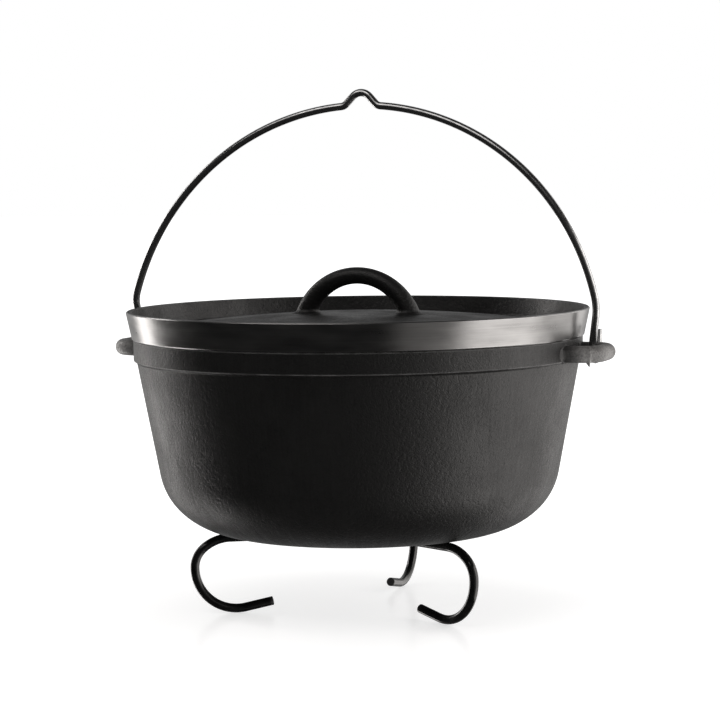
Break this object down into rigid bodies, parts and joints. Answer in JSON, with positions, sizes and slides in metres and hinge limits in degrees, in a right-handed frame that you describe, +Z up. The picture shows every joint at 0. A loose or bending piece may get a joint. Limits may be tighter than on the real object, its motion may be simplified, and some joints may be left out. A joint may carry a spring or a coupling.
{
  "type": "cast iron camp dutch oven",
  "caption": "Round cast pot with side loops, flanged domed lid with half-ring handle, wire bail hooked on the loops, and a bent-rod trivet.",
  "frame": {"origin": "on the floor under the pot's axis, at the base centre of the bounding box", "axes": "+Z up along the pot's axis, X from ear to ear, +Y to the back, away from the viewer; the bail hooks wrap the back bars of the ears"},
  "size_m": [0.35, 0.31, 0.3492],
  "materials": {
    "cast_iron_pot": "seasoned sand-cast",
    "cast_iron_lid": "seasoned sand-cast, turned flange",
    "steel_wire": "polished",
    "trivet_steel": "satin black"
  },
  "bodies": {
    "trivet": {"trivet_hub": "trivet_steel", "trivet_leg_1": "trivet_steel", "trivet_leg_2": "trivet_steel", "trivet_leg_3": "trivet_steel", "trivet_weld_1": "trivet_steel", "trivet_weld_2": "trivet_steel", "trivet_weld_3": "trivet_steel"},
    "pot": {"pot": "cast_iron_pot"},
    "lid": {"lid": "cast_iron_lid"},
    "bail": {"bail": "steel_wire"}
  },
  "joints": [
    {"name": "pot_lift", "type": "slide", "parent": "trivet", "child": "pot", "axis": [0, 0, 1], "range_m": [0, 0.15]},
    {"name": "lid_lift", "type": "slide", "parent": "pot", "child": "lid", "axis": [0, 0, 1], "range_m": [0, 0.014]},
    {"name": "bail_swing", "type": "hinge", "parent": "pot", "child": "bail", "pos_m": [0, 0.019, 0.1764], "axis": [1, 0, 0], "range_deg": [-140, 30]}
  ]
}
